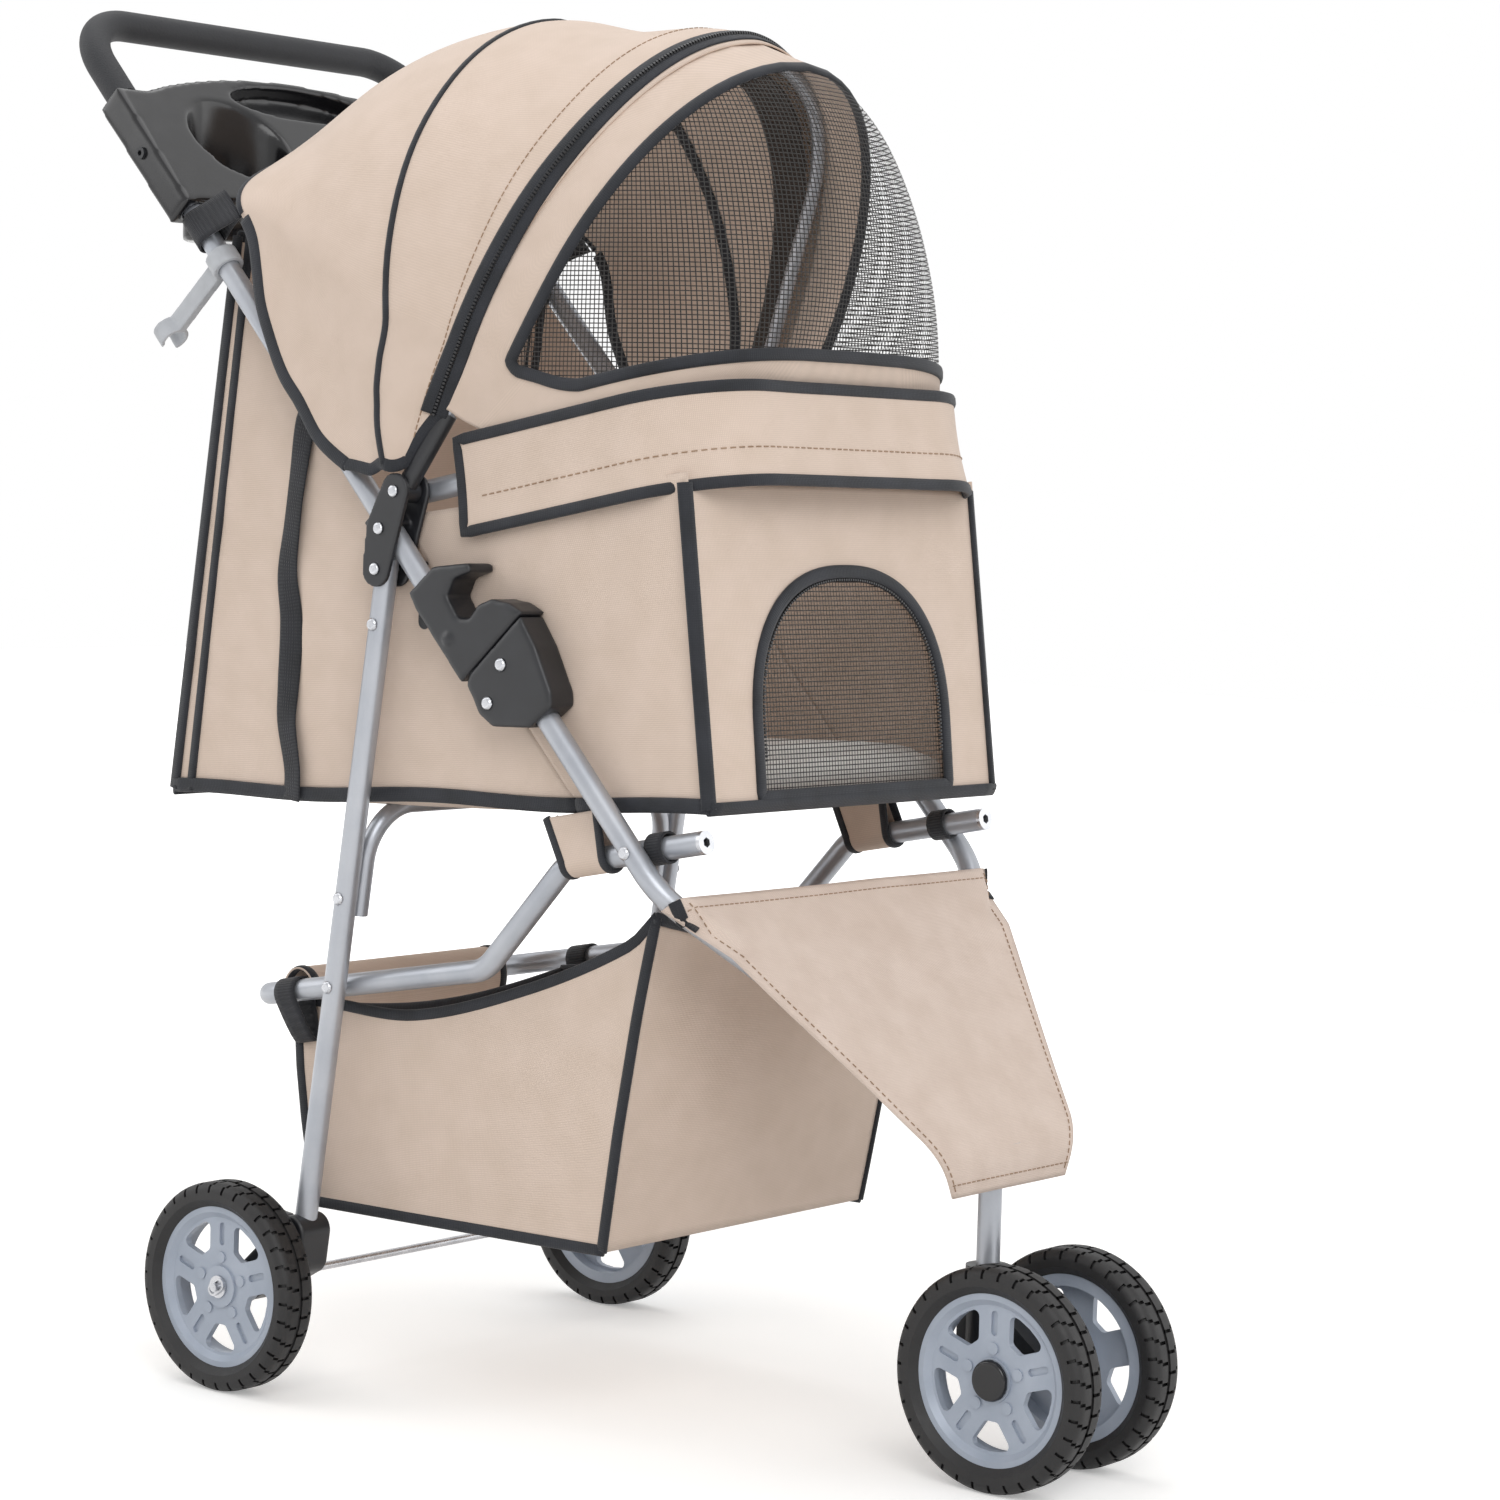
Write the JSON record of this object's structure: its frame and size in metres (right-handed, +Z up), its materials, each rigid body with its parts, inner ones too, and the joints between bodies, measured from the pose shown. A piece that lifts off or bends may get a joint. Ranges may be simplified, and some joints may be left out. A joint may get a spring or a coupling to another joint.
{
  "type": "pet stroller",
  "caption": "Folding pet stroller: silver tube frame, tan fabric cabin with mesh window and arched door, hood, cup tray, basket and swivelling front caster.",
  "frame": {"origin": "on the floor under the middle of the overall length and width", "axes": "+Z up, front towards -Y, +X to the stroller's own left"},
  "size_m": [0.4488, 0.8716, 1],
  "materials": {
    "frame_tube": "satin silver paint",
    "steel": "plain bright steel",
    "black_plastic": "fine-grained black moulding",
    "gloss_black": "satin black moulding",
    "foam": "soft closed-cell foam",
    "clip_plastic": "grey moulding",
    "rim_plastic": "silver-grey moulding",
    "tyre": "solid foam tyre with a smooth tread",
    "webbing": "woven webbing",
    "tan_fabric": "woven polyester with charcoal binding",
    "mesh": "open knit mesh",
    "pad_fabric": "quilted soft cover"
  },
  "bodies": {
    "rear_frame": {"rear_leg_right": "frame_tube", "rear_leg_left": "frame_tube", "rear_axle": "steel", "rear_bracket_right": "black_plastic", "rear_bracket_left": "black_plastic", "rear_cross_bar": "frame_tube", "rear_rivets": "steel", "axle_clips": "steel"},
    "upper_frame": {"handle_tube": "frame_tube", "handle_grip": "foam", "cup_tray": "gloss_black", "tray_screws": "steel", "frame_bracket_right": "black_plastic", "frame_bracket_left": "black_plastic", "bracket_rivets": "steel", "cabin_hoop": "frame_tube", "hoop_band": "tan_fabric", "webbing_loops": "webbing", "cabin_floor": "tan_fabric", "floor_pad": "pad_fabric", "cabin_side_right": "tan_fabric", "cabin_side_left": "tan_fabric", "cabin_front": "tan_fabric", "cabin_rear": "tan_fabric"},
    "front_frame": {"front_tube_right": "frame_tube", "front_tube_left": "frame_tube", "front_yoke": "frame_tube", "lock_housing_right": "black_plastic", "lock_housing_left": "black_plastic", "housing_rivets": "steel", "front_cover": "tan_fabric"},
    "seat_frame": {"seat_bar": "frame_tube", "seat_bar_caps": "steel", "seat_loops": "tan_fabric", "basket": "tan_fabric"},
    "canopy": {"canopy_bow": "frame_tube", "bow_sockets": "black_plastic", "hood": "tan_fabric"},
    "window_flap": {"window_panel": "mesh"},
    "door": {"front_door": "mesh"},
    "slider_right": {"lock_slider_right": "black_plastic"},
    "slider_left": {"lock_slider_left": "black_plastic"},
    "caster": {"caster_fork": "black_plastic", "front_axle": "steel"},
    "front_wheel_right": {"front_rim_right": "rim_plastic", "front_tyre_right": "tyre", "front_hub_cap_right": "black_plastic"},
    "front_wheel_left": {"front_rim_left": "rim_plastic", "front_tyre_left": "tyre", "front_hub_cap_left": "black_plastic"},
    "rear_wheel_right": {"rear_rim_right": "rim_plastic", "rear_tyre_right": "tyre"},
    "rear_wheel_left": {"rear_rim_left": "rim_plastic", "rear_tyre_left": "tyre"},
    "pedal_right": {"brake_pedal_right": "black_plastic"},
    "pedal_left": {"brake_pedal_left": "black_plastic"},
    "clip": {"fold_clip": "clip_plastic"},
    "pull": {"zipper_pull": "black_plastic"}
  },
  "joints": [
    {"name": "fold", "type": "hinge", "parent": "rear_frame", "child": "upper_frame", "pos_m": [0, 0.08695, 0.59135], "axis": [-1, 0, 0], "range_deg": [0, 90], "deforming": ["cabin_floor", "floor_pad", "cabin_side_right", "cabin_side_left", "cabin_front", "cabin_rear", "front_cover", "basket", "seat_loops", "hoop_band", "front_door", "window_panel"]},
    {"name": "front_fold", "type": "hinge", "parent": "upper_frame", "child": "front_frame", "pos_m": [0, -0.0225, 0.5043], "axis": [1, 0, 0], "range_deg": [0, 133.2]},
    {"name": "seat_fold", "type": "hinge", "parent": "rear_frame", "child": "seat_frame", "pos_m": [0, 0.1292, 0.29444], "axis": [-1, 0, 0], "range_deg": [0, 37]},
    {"name": "canopy_fold", "type": "hinge", "parent": "upper_frame", "child": "canopy", "pos_m": [0, 0.07047, 0.64575], "axis": [-1, 0, 0], "range_deg": [0, 60], "deforming": ["hood", "window_panel"]},
    {"name": "window_open", "type": "hinge", "parent": "upper_frame", "child": "window_flap", "pos_m": [0, -0.1749, 0.72547], "axis": [1, 0, 0], "range_deg": [0, 110]},
    {"name": "door_open", "type": "hinge", "parent": "upper_frame", "child": "door", "pos_m": [0, -0.19521, 0.44895], "axis": [1, 0, 0], "range_deg": [0, 100]},
    {"name": "lock_slide_right", "type": "slide", "parent": "upper_frame", "child": "slider_right", "axis": [0, 0.6782, 0.7349], "range_m": [0, 0.016]},
    {"name": "lock_slide_left", "type": "slide", "parent": "upper_frame", "child": "slider_left", "axis": [0, 0.6782, 0.7349], "range_m": [0, 0.016]},
    {"name": "caster_swivel", "type": "hinge", "parent": "front_frame", "child": "caster", "pos_m": [0, -0.318, 0.12], "axis": [0, 0, 1], "continuous": true},
    {"name": "front_spin_right", "type": "hinge", "parent": "caster", "child": "front_wheel_right", "pos_m": [-0.0456, -0.3608, 0.075], "axis": [1, 0, 0], "continuous": true},
    {"name": "front_spin_left", "type": "hinge", "parent": "caster", "child": "front_wheel_left", "pos_m": [0.0456, -0.3608, 0.075], "axis": [1, 0, 0], "continuous": true},
    {"name": "rear_spin_right", "type": "hinge", "parent": "rear_frame", "child": "rear_wheel_right", "pos_m": [-0.2094, 0.19779, 0.075], "axis": [1, 0, 0], "continuous": true},
    {"name": "rear_spin_left", "type": "hinge", "parent": "rear_frame", "child": "rear_wheel_left", "pos_m": [0.2094, 0.19779, 0.075], "axis": [1, 0, 0], "continuous": true},
    {"name": "brake_right", "type": "hinge", "parent": "rear_frame", "child": "pedal_right", "pos_m": [-0.155, 0.18379, 0.102], "axis": [-1, 0, 0], "range_deg": [0, 15]},
    {"name": "brake_left", "type": "hinge", "parent": "rear_frame", "child": "pedal_left", "pos_m": [0.155, 0.18379, 0.102], "axis": [-1, 0, 0], "range_deg": [0, 15]},
    {"name": "clip_swing", "type": "hinge", "parent": "upper_frame", "child": "clip", "pos_m": [-0.176, 0.25144, 0.80116], "axis": [0, 0.6782, 0.7349], "range_deg": [0, 100]},
    {"name": "pull_swing", "type": "hinge", "parent": "upper_frame", "child": "pull", "pos_m": [-0.163, 0.06295, 0.59535], "axis": [1, 0, 0], "range_deg": [-30, 30]}
  ],
  "couplings": [
    {"joint": "front_fold", "follows": "fold", "ratio": 1.475},
    {"joint": "seat_fold", "follows": "fold", "ratio": 0.405}
  ]
}
